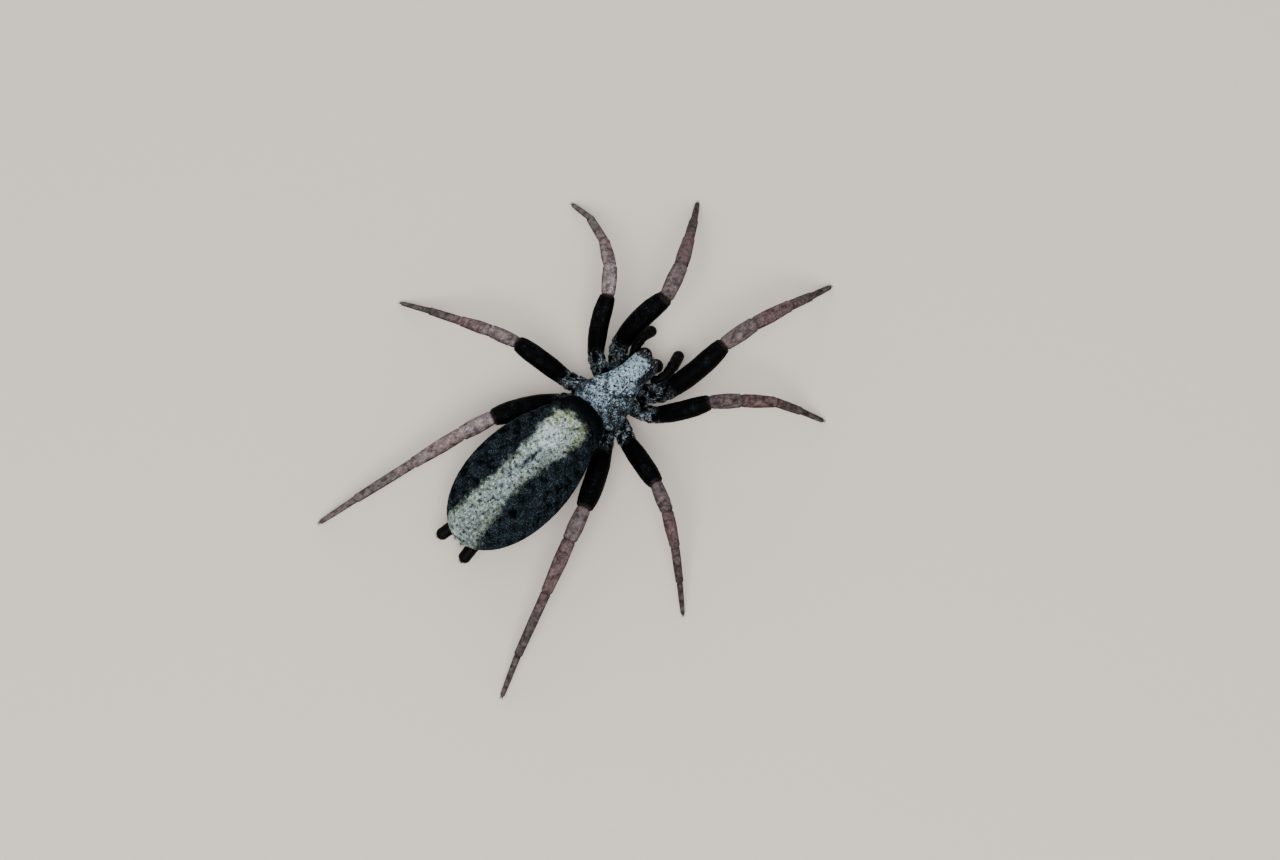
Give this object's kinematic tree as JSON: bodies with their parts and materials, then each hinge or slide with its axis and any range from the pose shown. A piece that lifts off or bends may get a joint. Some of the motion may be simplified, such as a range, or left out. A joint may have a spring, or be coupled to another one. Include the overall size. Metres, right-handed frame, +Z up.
{
  "type": "ground spider",
  "caption": "Life-size still ground spider with a long pale-banded black abdomen, a grey head shield, red-brown lower legs and cylindrical spinnerets.",
  "frame": {"origin": "middle of the box around the whole animal, on the floor that its feet stand on", "axes": "-Y is where the head points, +X is the animal's left side, +Z is up"},
  "size_m": [0.0156, 0.0196, 0.0033],
  "materials": {
    "grey_shield": "black cuticle under flat bluish grey and white hair",
    "black_cuticle": "velvety black",
    "banded_abdomen": "soft skin with velvety black flanks and a pale silver-green band",
    "red_brown_leg": "red-brown cuticle with grey down",
    "eye": "glossy black",
    "fang": "polished dark red-brown"
  },
  "bodies": {
    "root": {"carapace": "grey_shield", "sternum": "black_cuticle", "pedicel": "black_cuticle", "abdomen": "banded_abdomen", "labium": "black_cuticle", "endite_left": "black_cuticle", "chelicera_left": "black_cuticle", "fang_left": "fang", "palp_left_femur": "black_cuticle", "palp_left_tarsus": "black_cuticle", "spinneret_left_front": "black_cuticle", "spinneret_left_rear": "black_cuticle", "leg_left_1_coxa": "black_cuticle", "leg_left_1_femur": "black_cuticle", "leg_left_1_tibia": "red_brown_leg", "leg_left_1_tarsus": "red_brown_leg", "leg_left_2_coxa": "black_cuticle", "leg_left_2_femur": "black_cuticle", "leg_left_2_tibia": "red_brown_leg", "leg_left_2_tarsus": "red_brown_leg", "leg_left_3_coxa": "black_cuticle", "leg_left_3_femur": "black_cuticle", "leg_left_3_tibia": "red_brown_leg", "leg_left_3_tarsus": "red_brown_leg", "leg_left_4_coxa": "black_cuticle", "leg_left_4_femur": "black_cuticle", "leg_left_4_tibia": "red_brown_leg", "leg_left_4_tarsus": "red_brown_leg", "endite_right": "black_cuticle", "chelicera_right": "black_cuticle", "fang_right": "fang", "palp_right_femur": "black_cuticle", "palp_right_tarsus": "black_cuticle", "spinneret_right_front": "black_cuticle", "spinneret_right_rear": "black_cuticle", "leg_right_1_coxa": "black_cuticle", "leg_right_1_femur": "black_cuticle", "leg_right_1_tibia": "red_brown_leg", "leg_right_1_tarsus": "red_brown_leg", "leg_right_2_coxa": "black_cuticle", "leg_right_2_femur": "black_cuticle", "leg_right_2_tibia": "red_brown_leg", "leg_right_2_tarsus": "red_brown_leg", "leg_right_3_coxa": "black_cuticle", "leg_right_3_femur": "black_cuticle", "leg_right_3_tibia": "red_brown_leg", "leg_right_3_tarsus": "red_brown_leg", "leg_right_4_coxa": "black_cuticle", "leg_right_4_femur": "black_cuticle", "leg_right_4_tibia": "red_brown_leg", "leg_right_4_tarsus": "red_brown_leg", "eye_left_front_median": "eye", "eye_left_front_lateral": "eye", "eye_left_rear_median": "eye", "eye_left_rear_lateral": "eye", "eye_right_front_median": "eye", "eye_right_front_lateral": "eye", "eye_right_rear_median": "eye", "eye_right_rear_lateral": "eye"}
  },
  "joints": []
}
